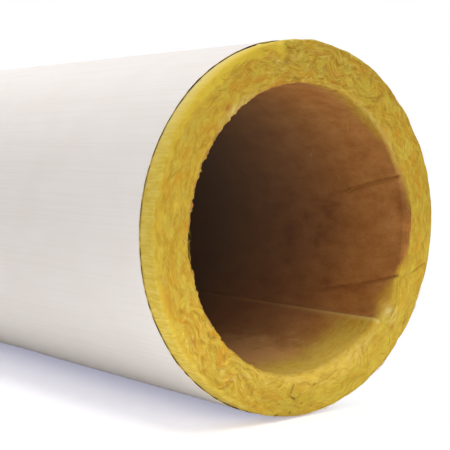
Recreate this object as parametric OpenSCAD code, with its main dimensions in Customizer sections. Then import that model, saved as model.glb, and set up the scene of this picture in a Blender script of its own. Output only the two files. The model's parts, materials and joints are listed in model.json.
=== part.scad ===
// Glass-wool pipe section: a moulded wool tube in a white lapped jacket.
// The tube is slit along one side, so that it opens and snaps over a pipe.
// The jacket is one sheet, bonded to the wool: it starts at the slit, goes once round,
// climbs onto its own start and ends in a lap that seals the slit.
// The section lies along X on the floor, with its bare end of wool at +X.

/* [Wool tube] */
// Length of the tube
section_l = 914.4; // [300:0.1:1500]
// Diameter of the bore, for a steel pipe of 168.3 mm
bore_d = 170.2; // [80:0.1:300]
// Thickness of the wall
wall_t = 24.4; // [14:0.1:60]
// Rounding of the soft edge at both mouths of the bore
mouth_round = 4; // [0.5:0.5:6]
// Rounding of the outer edge of the bare end
rim_round = 2; // [0.5:0.5:6]

/* [Slit] */
// Direction of the slit about the bore, up from +Y
slit_angle = -43; // [-50:1:50]
// Width of the closed slit
slit_gap = 1; // [0.4:0.1:3]

/* [Jacket] */
// Thickness of the sheet
jacket_t = 0.4; // [0.2:0.05:1]
// Length of wool left bare at the +X end
bare_l = 12.7; // [6:0.1:60]
// Width of the lap below the slit
lap_w = 38; // [20:1:50]
// Length over which the sheet climbs onto its own start
lap_rise = 4; // [2:0.5:8]

/* [Hidden] */

$fn = 96;
// How far a cutter reaches past the faces it cuts
cut_over = 2;

bore_r = bore_d / 2;
outer_r = bore_r + wall_t;
jacket_r = outer_r + jacket_t;
lap_r = jacket_r + jacket_t;
jacket_l = section_l - bare_l;
axis_h = jacket_r;

// The lap's edges, as angles about the bore: it is at its full height just before the slit
lap_top = slit_angle + degrees_of(slit_gap, outer_r);
lap_foot = lap_top + degrees_of(lap_rise, jacket_r);
lap_span = degrees_of(lap_w, jacket_r);

// Angle that an arc of a given length takes up on a circle
function degrees_of(arc_length, radius) = arc_length / radius * 180 / PI;
// Point of the section at a radius and an angle
function at(radius, angle) = radius * [cos(angle), sin(angle)];

// Lays a section that was made along Z down along X, with the jacket on the floor
module lay_down() {
    translate([-section_l / 2, 0, axis_h]) rotate([90, 0, 90]) children();
}

// What rounding takes off a square corner at the origin, where the solid lies at +X +Y
module corner_waste(radius) {
    difference() {
        translate([-cut_over, -cut_over]) square(radius + cut_over);
        translate([radius, radius]) circle(radius);
    }
}

// The wall's outline beside the axis: the bare end is at the top
module wall_profile() {
    difference() {
        translate([bore_r, 0]) square([wall_t, section_l]);
        translate([bore_r, 0]) corner_waste(mouth_round);
        translate([bore_r, section_l]) mirror([0, 1]) corner_waste(mouth_round);
        translate([outer_r, section_l]) rotate(180) corner_waste(rim_round);
    }
}

// A flat cutter that lies along the slit, from inside the bore out to a radius
module slit_cutter(reach) {
    rotate(slit_angle) translate([bore_r - cut_over, -slit_gap / 2, -cut_over])
        cube([reach - bore_r + cut_over, slit_gap, section_l + 2 * cut_over]);
}

// The wool: one turned wall, slit right through on one side
module insulation() {
    color("#D6B440") lay_down() difference() {
        rotate_extrude() wall_profile();
        slit_cutter(outer_r + cut_over);
    }
}

// The sheet's second layer: it climbs above the slit and ends in a free edge below it
module lap() {
    middle_r = (outer_r + jacket_r) / 2;
    rotate_extrude(angle = lap_span, start = lap_top - lap_span)
        translate([middle_r, 0]) square([lap_r - middle_r, jacket_l]);
    linear_extrude(jacket_l) polygon([
        at(middle_r, slit_angle), at(middle_r, lap_foot),
        at(jacket_r, lap_foot), at(lap_r, lap_top), at(jacket_r, slit_angle)
    ]);
}

// The jacket: the first layer is cut at the slit, which the lap bridges
module jacket() {
    color("#F4F1EC") lay_down() difference() {
        union() {
            cylinder(h = jacket_l, r = jacket_r);
            lap();
        }
        translate([0, 0, -cut_over]) cylinder(h = jacket_l + 2 * cut_over, r = outer_r);
        slit_cutter(jacket_r);
    }
}

insulation();
jacket();
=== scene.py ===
"""Looks for a glass-wool pipe section: a slit wool tube in a white lapped jacket.

The wool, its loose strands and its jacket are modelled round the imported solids, in metres,
and lie on a white studio floor. Angles go round the bore, up from +Y: 90 is the top, and the
slit is at -43 degrees.
"""

from __future__ import annotations

import json
import logging
import math
from collections.abc import Sequence
from dataclasses import dataclass, field
from enum import Enum, IntEnum

import bpy
import numpy as np
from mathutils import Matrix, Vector, noise

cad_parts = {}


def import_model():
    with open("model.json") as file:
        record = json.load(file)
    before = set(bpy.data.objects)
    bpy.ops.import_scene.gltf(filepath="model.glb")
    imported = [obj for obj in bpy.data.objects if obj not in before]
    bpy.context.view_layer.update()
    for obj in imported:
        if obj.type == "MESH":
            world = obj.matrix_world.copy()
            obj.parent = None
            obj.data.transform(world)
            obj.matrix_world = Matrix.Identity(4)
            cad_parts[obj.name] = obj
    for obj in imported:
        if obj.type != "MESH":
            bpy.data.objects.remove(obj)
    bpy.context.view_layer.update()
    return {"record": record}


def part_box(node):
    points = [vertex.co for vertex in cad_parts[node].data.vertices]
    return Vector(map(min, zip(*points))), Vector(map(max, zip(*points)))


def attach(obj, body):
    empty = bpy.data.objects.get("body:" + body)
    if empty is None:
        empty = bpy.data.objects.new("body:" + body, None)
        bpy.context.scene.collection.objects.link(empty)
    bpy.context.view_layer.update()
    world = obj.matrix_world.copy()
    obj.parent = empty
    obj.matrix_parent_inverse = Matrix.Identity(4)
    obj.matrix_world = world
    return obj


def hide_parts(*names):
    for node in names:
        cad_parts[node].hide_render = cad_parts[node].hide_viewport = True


LOG = logging.getLogger("pipe_section")
MM = 0.001
TURN = 2 * math.pi

Array = np.ndarray
Sockets = dict[str, bpy.types.NodeSocket]


def linear(code: str) -> tuple[float, float, float, float]:
    """Turns an sRGB hex colour into linear RGBA.

    Args:
        code: colour such as "#D6B440".

    Returns:
        Linear red, green, blue and an alpha of 1.
    """
    shares = [int(code[i:i + 2], 16) / 255 for i in (1, 3, 5)]
    steps = [v / 12.92 if v <= 0.04045 else ((v + 0.055) / 1.055) ** 2.4 for v in shares]
    return (steps[0], steps[1], steps[2], 1.0)


def add_node(tree: bpy.types.NodeTree, kind: str, inputs: dict | None = None,
             ramp: Sequence[tuple[float, str]] | None = None, **settings: object) -> bpy.types.Node:
    """Adds a node with its settings, fixed inputs, links and colour stops.

    Args:
        tree: node tree that gets the node.
        kind: Blender's name of the node type.
        inputs: input name or index to a value, or to the output socket that feeds it.
        ramp: place and sRGB hex of each stop, for a colour ramp.
        settings: properties of the node itself.

    Returns:
        The new node.
    """
    node = tree.nodes.new(kind)
    for name, value in settings.items():
        setattr(node, name, value)
    for name, value in (inputs or {}).items():
        if isinstance(value, bpy.types.NodeSocket):
            tree.links.new(value, node.inputs[name])
        else:
            node.inputs[name].default_value = value
    if ramp:
        stops = node.color_ramp.elements
        while len(stops) < len(ramp):
            stops.new(1.0)
        for stop, (place, code) in zip(stops, ramp):
            stop.position = place
            stop.color = linear(code)
    return node


def perlin(along: Array, across: Array, seed: float) -> Array:
    """Smooth noise between -1 and 1 over a plane.

    Args:
        along: first coordinate, in pattern steps.
        across: second coordinate, in pattern steps.
        seed: which of the many like patterns to take.

    Returns:
        One value for each point.
    """
    pairs = zip(along.tolist(), across.tolist())
    return np.fromiter((noise.noise((a, b, seed)) for a, b in pairs), float, len(along))


def ripples(along: Array, across: Array, parts: Sequence[tuple[float, float, float, float]]) -> Array:
    """Sum of a few noises over a plane.

    Args:
        along: first coordinate, in mm.
        across: second coordinate, in mm.
        parts: height of each noise, its steps along and across in mm, and its seed.

    Returns:
        One value for each point.
    """
    return sum(height * perlin(along / s, across / t, seed) for height, s, t, seed in parts)


def ease(value: Array) -> Array:
    """Smooth step from 0 to 1 as the value goes from 0 to 1."""
    share = np.clip(value, 0.0, 1.0)
    return share * share * (3 - 2 * share)


def bell(distance: Array, half_width: float) -> Array:
    """Bell of height 1 at a distance of 0."""
    return np.exp(-(distance / half_width) ** 2)


def hump(angle: Array, centre: float, half_width: float) -> Array:
    """Bell of height 1 round the section.

    Args:
        angle: angles about the axis, in radians.
        centre: angle of the top, in degrees.
        half_width: reach to each side, in degrees.

    Returns:
        One value for each angle.
    """
    off = np.degrees(angle) - centre
    off = (off + 180) % 360 - 180
    return bell(off, half_width)


def humps(angle: Array, parts: Sequence[tuple[float, float, float]]) -> Array:
    """Sum of a few bells round the section.

    Args:
        angle: angles about the axis, in radians.
        parts: height of each bell, and its centre and half width in degrees.

    Returns:
        One value for each angle.
    """
    return sum(height * hump(angle, centre, half) for height, centre, half in parts)


def distance_to_path(along: Array, across: Array, path: Array) -> Array:
    """Distance of points in a plane to a line drawn from point to point.

    Args:
        along: first coordinate of the points.
        across: second coordinate of the points.
        path: points of the line, one row of two coordinates each.

    Returns:
        One distance for each point.
    """
    nearest = np.full_like(along, np.inf)
    for a, b in zip(path, path[1:]):
        step = b - a
        share = ((along - a[0]) * step[0] + (across - a[1]) * step[1]) / (step @ step)
        share = np.clip(share, 0, 1)
        off = np.hypot(along - a[0] - share * step[0], across - a[1] - share * step[1])
        nearest = np.minimum(nearest, off)
    return nearest


def start_clean() -> None:
    """Deselects everything, so that an operator touches only the new piece."""
    if bpy.context.object and bpy.context.object.mode != "OBJECT":
        bpy.ops.object.mode_set(mode="OBJECT")
    bpy.ops.object.select_all(action="DESELECT")


def draw_wire(name: str, points: list[Vector]) -> bpy.types.Object:
    """Draws a line by extruding one vertex from point to point.

    Args:
        name: name of the new object.
        points: places of the vertices, in order.

    Returns:
        The wire, in object mode, with its vertices in the same order.
    """
    start_clean()
    bpy.ops.mesh.primitive_plane_add(size=MM, location=points[0])
    wire = bpy.context.object
    wire.name = name
    wire.data.name = name
    bpy.ops.object.transform_apply(location=True, rotation=True, scale=True)
    bpy.ops.object.mode_set(mode="EDIT")
    bpy.ops.mesh.select_mode(type="VERT")
    bpy.ops.mesh.select_all(action="SELECT")
    bpy.ops.mesh.merge(type="CENTER")
    for here, there in zip(points, points[1:]):
        bpy.ops.mesh.extrude_vertices_move(TRANSFORM_OT_translate={"value": there - here})
    bpy.ops.object.mode_set(mode="OBJECT")
    return wire


def read_points(mesh: bpy.types.Mesh) -> Array:
    """Places of a mesh's vertices, one row each.

    Args:
        mesh: mesh to read.

    Returns:
        X, Y and Z of each vertex.
    """
    flat = np.empty(len(mesh.vertices) * 3)
    mesh.vertices.foreach_get("co", flat)
    return flat.reshape(-1, 3)


def write_points(mesh: bpy.types.Mesh, points: Array) -> None:
    """Moves a mesh's vertices to new places."""
    mesh.vertices.foreach_set("co", np.ascontiguousarray(points, dtype=np.float32).ravel())
    mesh.update()


def write_value(mesh: bpy.types.Mesh, name: str, values: Array) -> None:
    """Stores a number or a vector for each vertex, for the finish to read.

    Args:
        mesh: mesh that gets the attribute.
        name: attribute's name.
        values: one number, or one row of three, for each vertex.
    """
    kind, key = ("FLOAT", "value") if values.ndim == 1 else ("FLOAT_VECTOR", "vector")
    layer = mesh.attributes.get(name) or mesh.attributes.new(name, kind, "POINT")
    layer.data.foreach_set(key, np.ascontiguousarray(values, dtype=np.float32).ravel())


def read_value(mesh: bpy.types.Mesh, name: str) -> Array:
    """Numbers that write_value stored.

    Args:
        mesh: mesh that has the attribute.
        name: attribute's name.

    Returns:
        One number for each vertex.
    """
    values = np.empty(len(mesh.vertices))
    mesh.attributes[name].data.foreach_get("value", values)
    return values


@dataclass(frozen=True)
class Section:
    """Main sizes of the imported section, in metres.

    Attributes:
        front_x: place of the bare end.
        back_x: place of the jacketed end.
        axis_z: height of the axis.
        bore_r: radius of the bore.
        outer_r: radius of the wool's outside.
        jacket_x: place of the sheet's cut edge.
        sheet_t: thickness of the sheet.
        slit_angle: direction of the slit, in radians up from +Y.
    """

    front_x: float
    back_x: float
    axis_z: float
    bore_r: float
    outer_r: float
    jacket_x: float
    sheet_t: float
    slit_angle: float = math.radians(-43)

    @classmethod
    def from_frame(cls, record: dict) -> Section:
        """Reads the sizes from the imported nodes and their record.

        Args:
            record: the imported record.

        Returns:
            The section's sizes.
        """
        low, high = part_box("insulation")
        jacket_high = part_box("jacket")[1]
        bore = next(mount for mount in record["mounts"] if mount["name"] == "pipe_bore")
        axis_z = bore["pos_m"][2]
        outer_r = round(high[2] - axis_z, 4)
        return cls(high[0], low[0], axis_z, bore["dims"]["r_mm"] * MM, outer_r,
                   jacket_high[0], round(axis_z - outer_r, 4))

    @property
    def wall(self) -> float:
        """Thickness of the wool."""
        return self.outer_r - self.bore_r

    @property
    def mid_r(self) -> float:
        """Radius of the middle of the wool."""
        return (self.outer_r + self.bore_r) / 2

    def place(self, x: Array, radius: Array, angle: Array) -> Array:
        """Turns places along, out from and round the axis into points, one row each."""
        return np.column_stack([x, radius * np.cos(angle), self.axis_z + radius * np.sin(angle)])


class End(IntEnum):
    """Ends of the section: each value is the direction along X that the end faces."""

    BARE = 1
    BACK = -1


class Zone(IntEnum):
    """Stretches of the wool's outline, in drawing order."""

    BORE = 0
    MOUTH = 1
    FACE = 2
    RIM = 3
    BAND = 4
    OUTER = 5
    BACK_FACE = 6
    BACK_MOUTH = 7


@dataclass(frozen=True)
class Whorl:
    """A place on a cut end where the strands curl up.

    Attributes:
        radius_mm: its distance from the axis.
        angle: its angle about the axis, in degrees.
        reach_mm: size of the curl.
        twist: how far its middle is turned, in radians.
    """

    radius_mm: float
    angle: float
    reach_mm: float
    twist: float


@dataclass(frozen=True)
class Crease:
    """A fold across a cut end or along the bore, made dark where it is deep by painted shade.

    Attributes:
        path: distance from the axis (or, in the bore, from the bare end) in mm and angle in
            degrees, from point to point.
        depth_mm: how deep it cuts.
        width_mm: how wide it opens.
    """

    path: tuple[tuple[float, float], ...]
    depth_mm: float
    width_mm: float


@dataclass(frozen=True)
class Smear:
    """A spot on the bare end.

    Attributes:
        radius_mm: its distance from the axis.
        angle: its angle about the axis, in degrees.
        size_mm: how far it spreads.
        share: how strongly it shows.
    """

    radius_mm: float
    angle: float
    size_mm: float
    share: float = 1.0


# Stretches round the section follow, each as height, and centre and half width in degrees.
# Where the wool is torn rather than cut
TORN_FLOW = ((1.0, 226, 32), (1.0, 76, 34))
TORN_STRANDS = ((1.0, 226, 27), (1.0, 84, 28), (0.15, 140, 36))
TORN_MOUTH = ((1.0, 165, 62), (0.55, 235, 30))
# Where the strands lie smoothly
CALM = ((0.45, -4, 50), (0.45, -72, 26), (0.75, 160, 36))
# How far the bare end's rim is out of round, in mm: swellings, then dents and the flat foot
OUT_OF_ROUND = (
    (0.7, 10, 16), (0.5, 62, 10), (0.6, 88, 10), (-0.8, 33, 4), (-1.1, 45, 2.4), (-0.6, -23, 5),
    (-1.1, 101, 1.3), (-0.8, -42.5, 1.6), (-1.0, -68, 30))
# How much rounder than plain the mouth is, in mm: slumped at the foot, sharp on the torn side
MOUTH_SLUMP = ((5.0, -74, 30), (1.4, 35, 45), (-1.2, 180, 60))
# Where the cut end is darker: painted shade over its top, where less light falls, and a few darker
# stretches
DARKENING_AND_SHADE = ((0.38, 72, 62), (0.3, 170, 28), (0.35, 262, 11), (0.28, 6, 16), (0.22, 186, 14))

BARE_WHORLS = (
    Whorl(100, 57, 8, 1.6), Whorl(100, 78, 8, -1.4), Whorl(97, 92, 7, 1.2), Whorl(98, 232, 9, 1.2),
    Whorl(94, 246, 7, -1.1), Whorl(101, 206, 8, 1.0), Whorl(96, 288, 7, 1.0), Whorl(99, 122, 7, -0.8))
BACK_WHORLS = (
    Whorl(98, 40, 9, 1.8), Whorl(100, 110, 8, -2.0), Whorl(95, 200, 8, 1.6), Whorl(99, 280, 9, -1.8))
BARE_CREASES = (
    Crease(((92, -20.5), (96.5, -18.7), (101, -16.4), (105.5, -14.6), (108, -13.6)), 0.95, 0.9),
    Crease(((88, 67), (89, 63), (92, 58), (99, 52.6)), 0.6, 1.3),
    Crease(((99, 52.6), (108, 48.6)), 0.35, 1.2),
    Crease(((110, 100), (106, 98.4), (102.0, 96.4)), 0.75, 0.9))
BORE_FOLDS = (
    Crease(((0, 20.8), (23, 18.1), (50, 13.9), (72, 11.5)), 1.3, 1.1),
    Crease(((0, -21.8), (15, -24.8), (31, -27.7), (60, -31.8)), 1.4, 1.2),
    Crease(((28, 8.7), (40, 7.4), (58, 7.5), (71, 6.8), (87, 8.8)), 0.5, 1.8))
# Paths of the pale scuffs in the bore: depth in mm and angle in degrees
BORE_SCUFFS = (
    ((80.5, 24.2), (75.3, 30.2), (65.4, 36.1)), ((24.5, 50.9), (26.5, 46.2), (32, 41)),
    ((58, 9.5), (49.3, 12.7), (40.9, 15.2), (29.6, 17.2)), ((49.5, -80), (43.3, -75.2), (41, -72)))
BINDER_STAINS = (
    Smear(86.2, -72.8, 2.6, 0.85), Smear(91.5, 130.8, 2.4, 0.95), Smear(96.8, -41.5, 2.0, 0.85),
    Smear(101.0, 214, 2.4, 0.85), Smear(100.0, -29, 3.2, 0.3), Smear(103.0, -22, 2.8, 0.25))
DIRT_SPECKS = (
    Smear(101.5, -92.3, 0.5), Smear(106.4, -97.2, 0.6), Smear(108.7, -102.6, 1.1),
    Smear(104.0, -88.0, 0.4), Smear(95.6, -93.4, 0.4))
# Line of dirt across the foot of the bare end: distance from the axis in mm and angle in degrees
DIRT_LINE = ((90.8, -96.6), (93.5, -97.4), (96.0, -97.9), (98.4, -95.7))


@dataclass(frozen=True)
class CutEnd:
    """The sawn end of the wool, with strands that run round it and swirl.

    Attributes:
        section: sizes of the section.
        seed: which of the many like patterns it has.
        whorls: where its strands curl up.
        creases: its folds.
    """

    section: Section
    seed: float
    whorls: tuple[Whorl, ...] = ()
    creases: tuple[Crease, ...] = ()

    def unrolled(self, radius: Array, angle: Array) -> tuple[Array, Array]:
        """Distances round the end from the slit and out from the bore, in metres."""
        turn = (angle - self.section.slit_angle) % TURN
        return turn * self.section.mid_r, radius - self.section.bore_r

    def angle_at(self, along: Array) -> Array:
        """Angle about the axis at a distance round the end from the slit."""
        return along / self.section.mid_r + self.section.slit_angle

    def ripple(self, along: Array, across: Array, step_mm: tuple[float, float], shift: float) -> Array:
        """Noise of this end's own, with steps of a given size along and across it."""
        return perlin(along / (step_mm[0] * MM), across / (step_mm[1] * MM), self.seed + shift)

    def flow(self, along: Array, across: Array) -> tuple[Array, Array]:
        """Bends the plane of the end, so that straight strands in it swirl.

        Args:
            along: distance round the end, in metres.
            across: distance out from the bore, in metres.

        Returns:
            The bent distances: along the strands and across them.
        """
        s, t = along.copy(), across.copy()
        for whorl in self.whorls:
            at_s, at_t = self.unrolled(np.array([whorl.radius_mm * MM]), np.radians([whorl.angle]))
            ds, dt = s - at_s[0], t - at_t[0]
            turn = whorl.twist * np.exp(-(ds * ds + dt * dt) / (whorl.reach_mm * MM) ** 2)
            s = at_s[0] + ds * np.cos(turn) - dt * np.sin(turn)
            t = at_t[0] + ds * np.sin(turn) + dt * np.cos(turn)
        angle = self.angle_at(along)
        wide = np.clip(self.ripple(along, across, (34, 22), 0.0) + 0.3, 0, 1)
        swirl = (2.4 + 2.6 * wide) * (1 - 0.7 * hump(angle, 160, 40)) * MM
        s = s + swirl * self.ripple(along, across, (16, 11), 1.3)
        t = t + swirl * self.ripple(along, across, (13, 12), 2.6)
        t = t + 0.8 * MM * self.ripple(along, across, (5, 5), 3.9)
        torn = np.clip(humps(angle, TORN_FLOW), 0, 1)
        t = t + (0.4 + 1.3 * torn) * MM * self.ripple(along, across, (4.6, 17), 4.4)
        return s, t

    def fold_depth(self, along: Array, across: Array) -> Array:
        """How deep the end's creases cut.

        Args:
            along: distance round the end, in metres.
            across: distance out from the bore, in metres.

        Returns:
            Depth at each point, in metres.
        """
        depth = np.zeros_like(along)
        for crease in self.creases:
            radii = np.array([p[0] for p in crease.path]) * MM
            angles = np.radians([p[1] for p in crease.path])
            path = np.column_stack(self.unrolled(radii, angles))
            nearest = distance_to_path(along, across, path)
            cut = crease.depth_mm * MM * bell(nearest, crease.width_mm * MM)
            depth = np.maximum(depth, cut)
        return depth

    def height(self, along: Array, across: Array) -> Array:
        """How far the end stands out: clumps, strands and lumps, less the folds.

        Args:
            along: distance round the end, in metres.
            across: distance out from the bore, in metres.

        Returns:
            Height at each point, in metres.
        """
        s, t = self.flow(along, across)
        angle = self.angle_at(along)
        rough = 1 - 0.65 * hump(angle, -12, 58)
        clumps = 0.5 * self.ripple(s, t, (7, 4.4), 5.2)
        strands = 0.2 * self.ripple(s, t, (4.5, 1.8), 8.3)
        even_at_slit = 1 - 0.7 * hump(angle, -37, 9)
        lumps = 0.5 * even_at_slit * self.ripple(along, across, (15, 10), 7.8)
        return (rough * (clumps + strands) + lumps) * MM - self.fold_depth(along, across)


@dataclass
class WoolMarks:
    """Colour marks of the wool: how much of each tint shows at each vertex, for the finish to read.

    Attributes:
        section: sizes of the section.
        x: place of each vertex along the axis.
        radius: its distance from the axis.
        angle: its angle about the axis, in radians.
        lay: its row, as a zone's number plus the share of the way through it.
    """

    section: Section
    x: Array
    radius: Array
    angle: Array
    lay: Array

    @property
    def depth(self) -> Array:
        """Distance in from the bare end, in mm."""
        return (self.section.front_x - self.x) / MM

    @property
    def degrees(self) -> Array:
        """Angle from 0 to 360."""
        return np.degrees(self.angle) % 360

    @property
    def below_slit(self) -> Array:
        """Angle down from the slit, in degrees from 0 to 360."""
        return np.degrees((self.section.slit_angle - self.angle) % TURN)

    @property
    def above_slit(self) -> Array:
        """Whether the vertex is past the slit, on its upper side."""
        return self.angle > self.section.slit_angle

    @property
    def front(self) -> Array:
        """Whether the vertex is on the outline's way from the bore to under the jacket."""
        return self.lay < Zone.OUTER

    @property
    def bore_mm(self) -> Array:
        """Distance round the bore, in mm."""
        return self.angle * self.section.bore_r / MM

    @property
    def rim_mm(self) -> Array:
        """Distance round the outside, in mm."""
        return self.angle * self.section.outer_r / MM

    def bore_noise(self, round_mm: float, along_mm: float, seed: float) -> Array:
        """Noise over the bore's wall, with steps of a given size round and along it."""
        return perlin(self.bore_mm / round_mm, self.x / (along_mm * MM), seed)

    def skin(self) -> Array:
        """Share of the bore's browned skin: it starts inside the mouth, deepest in below the slit.

        Returns:
            One share for each vertex.
        """
        angle = self.angle
        depth = self.depth
        from_back = (self.x - self.section.back_x) / MM
        slow = 58 * (self.below_slit < 95) * (1 - ease((self.below_slit - 55) / 40))
        reach = 4 + slow + humps(angle, ((15, 60, 24), (15, -34, 9), (-2.5, 2, 18)))
        start = -0.3 + (0.8 + reach / 12) * self.bore_noise(8, 9, 51.2)
        start += reach / 7 * self.bore_noise(22, 20, 52.5)
        burnt = np.clip(1.6 + 2.2 * self.bore_noise(2.2, 3, 56.9), 0, 4)
        start -= burnt * hump(angle, 160, 46) + 1.2 * hump(angle, 0, 16)
        veil = 0.14 * hump(angle, -58, 14) * ease((depth - 0.5) / 4)
        veil += 0.5 * hump(angle, -33, 7) * self.above_slit * ease((depth - 0.5) / 3)
        at_front = np.maximum(ease((depth - start) / reach) ** 1.1, veil)
        at_back = ease((from_back - 1.5 - 2 * self.bore_noise(6, 9, 57.1)) / 7)
        inside = (self.lay < Zone.FACE) | (self.lay > Zone.BACK_MOUTH)
        return np.minimum(at_front, at_back) * inside

    def band(self) -> Array:
        """Share of the combed wool on the outside of the tube.

        Returns:
            One share for each vertex.
        """
        edge = 0.35 * perlin(self.rim_mm / 3.5, self.x / (20 * MM), 44.5)
        return ease((self.lay - Zone.RIM - 0.2 + edge) * 1.6) * (self.lay < Zone.BACK_FACE)

    def pale(self) -> Array:
        """Share of pale wool: painted highlight on the slit's lip and the rim by the sheet, and scuffed
        streaks.

        Returns:
            One share for each vertex.
        """
        sec = self.section
        angle, lay, radius = self.angle, self.lay, self.radius
        from_slit = (angle - sec.slit_angle) * sec.bore_r / MM
        # Painted highlight along the slit's lower lip, where its edge would catch the light
        lip_highlight = bell(from_slit + 1.5, 1.5) * np.clip(0.42 - self.depth / 480, 0, 1) * (lay < 1.6)
        streak = bell(radius - 91 * MM, 5 * MM) * hump(angle, -38, 2.8)
        torn = bell(radius - 87.5 * MM, 2.2 * MM) * hump(angle, 128, 9)
        patchy = 0.55 + 0.9 * perlin(angle * radius / (2.5 * MM), radius / (3 * MM), 55.3)
        on_end = (lay > 1.2) & (lay < Zone.RIM)
        scuffed = (0.95 * streak + 0.8 * torn) * patchy * on_end
        beside = bell(self.x - sec.jacket_x, 6.5 * MM) * (lay > Zone.BAND) * (lay < Zone.OUTER)
        # Painted highlight on the bare rim beside the sheet, on the upper left where light falls
        lit = humps(angle, ((0.9, 126, 26), (0.1, 200, 40))) * beside * ease((self.degrees - 98.5) / 3)
        soft = 0.22 * bell(lay - 1.4, 0.25) * hump(angle, 42, 26)
        ridge = 0.2 * bell(lay - 1.6, 0.16) * hump(angle, -58, 14)
        return np.clip(lip_highlight + lit + soft + ridge + scuffed, 0, 1)

    def gilt(self) -> Array:
        """Share of painted highlight on the wool: the rounded rim on the left, up to a flap at the top.

        Returns:
            One share for each vertex.
        """
        angle, lay = self.angle, self.lay
        wavy = ripples(self.rim_mm, self.rim_mm, ((1.4, 7, 30, 58.3), (0.8, 2.6, 11, 59.7)))
        flap = 3.6 * bell(self.degrees - 102, 2.6) + humps(angle, ((2.6, 109, 2.5), (1.8, 124, 14)))
        edge = self.section.outer_r - (2.2 + flap + wavy) * MM
        inner = 1 - ease((edge - self.radius) / (1.4 * MM))
        # Painted highlight on the rim on the left, brightest near the top where light falls
        side = humps(angle, ((0.85, 122, 30), (0.25, 190, 50))) * ease((self.degrees - 98.8) / 1.4)
        fade = 1 - ease((lay - Zone.BAND - 0.12) * 2.6)
        # Painted highlight on the flap at the top
        tongue = 0.9 * bell(self.radius - 105 * MM, 3.4 * MM) * hump(angle, 101.5, 1.7)
        return np.clip(side * inner * fade + tongue, 0, 1) * (lay > Zone.FACE) * (lay < Zone.OUTER)

    def fresh(self) -> Array:
        """Share of bright wool that the mould has not browned, along the mouth below the slit.

        Returns:
            One share for each vertex.
        """
        depth = self.depth
        below = self.below_slit
        share = 0.95 * ease((below + 1) / 24) * (1 - ease((below - 55) / 30))
        blotches = ripples(depth, self.bore_mm, ((11, 17, 8, 53.8), (5, 7, 3.5, 54.1)))
        deeper = 8 * bell(below - 6, 6) + 11 * bell(below - 40, 14)
        inwards = 1 - ease((depth + blotches - deeper - 6) / 38)
        return share * inwards * ease((2.5 - self.lay) / 1.1)

    def bleach(self) -> Array:
        """Painted light and shade on the browned skin near the mouth: how much lighter or darker it is.

        Returns:
            More than 0 where light is painted: below the slit and at the top; less where shade is
                painted.
        """
        angle, depth = self.angle, self.depth
        # Painted shade above the slit, on the right wall and at the mouth on the right
        dark = 0.15 * hump(angle, -34, 10) * self.above_slit
        dark += 0.2 * hump(angle, -2, 20) * ease((depth - 35) / 40)
        dark += 0.32 * hump(angle, 4, 22) * bell(depth, 6)
        # Painted light on the bottom below the slit and on the top
        light = humps(angle, ((0.6, -82, 20), (0.08, 62, 24)))
        return (light - dark) * (1 - ease((depth - 110) / 70)) * self.front

    def aged(self) -> Array:
        """Share of darkening on the bare end, mostly painted shade over its top, and along the slumped
        mouth.

        Returns:
            One share for each vertex.
        """
        # Darker along the slumped mouth; the stretches round the end hold the painted shade over its top
        mouth = 0.6 * hump(self.angle, -62, 17) * bell(self.lay - 1.3, 0.5)
        return np.maximum(humps(self.angle, DARKENING_AND_SHADE), mouth) * (self.lay < Zone.BAND + 0.5) * self.front

    def lemony(self) -> Array:
        """Share of greenish yellow wool, at the foot of the bare end."""
        return 0.4 * hump(self.angle, -62, 46) * ease(self.lay - Zone.MOUTH) * self.front

    def stain(self) -> Array:
        """Share of orange binder stain: a few smears on the bare end, longer outwards than round it.

        Returns:
            One share for each vertex.
        """
        share = np.zeros_like(self.radius)
        for smear in BINDER_STAINS:
            off = (self.angle - math.radians(smear.angle) + math.pi) % TURN - math.pi
            out = (self.radius - smear.radius_mm * MM) / 0.7
            share += smear.share * bell(np.hypot(out, off * self.radius), smear.size_mm * MM)
        return share * self.front

    def dirt(self) -> Array:
        """Share of dark dirt: a few specks and a spotty line across the foot of the bare end.

        Returns:
            One share for each vertex.
        """
        angle, radius = self.angle, self.radius
        share = np.zeros_like(radius)
        for speck in DIRT_SPECKS:
            off = (angle - math.radians(speck.angle)) * radius
            spot = bell(np.hypot(radius - speck.radius_mm * MM, off), speck.size_mm * MM)
            share = np.maximum(share, spot)
        line = np.column_stack([np.radians([p[1] for p in DIRT_LINE]) * self.section.mid_r,
                                np.array([p[0] for p in DIRT_LINE]) * MM])
        near = distance_to_path(angle * self.section.mid_r, radius, line)
        spotty = 0.75 + 1.2 * perlin(radius / (1.6 * MM), angle * radius / (1.6 * MM), 57.6)
        share = np.maximum(share, np.clip(spotty, 0, 1) * bell(near, 0.85 * MM))
        return share * ((self.lay > Zone.MOUTH) & (self.lay < Zone.BAND + 0.3))

    def tangle(self) -> Array:
        """How far the strands are jumbled: most in the torn wool at the top and lower left.

        Returns:
            One distance for each vertex, in metres.
        """
        torn = np.clip(humps(self.angle, TORN_STRANDS), 0, 1)
        inner = 0.55 + 0.45 * ease(1.2 - (self.radius - self.section.bore_r) / self.section.wall)
        return np.where(self.front, (1.0 + 2.4 * torn * inner) * MM, 2.0 * MM)

    def rough(self) -> Array:
        """How clearly single strands show: less where they lie smoothly."""
        return 1 - np.clip(humps(self.angle, CALM), 0, 0.9) * self.front

    def end_distance(self) -> Array:
        """Distance in from the nearer end, in mm."""
        return np.minimum(self.section.front_x - self.x, self.x - self.section.back_x) / MM

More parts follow.
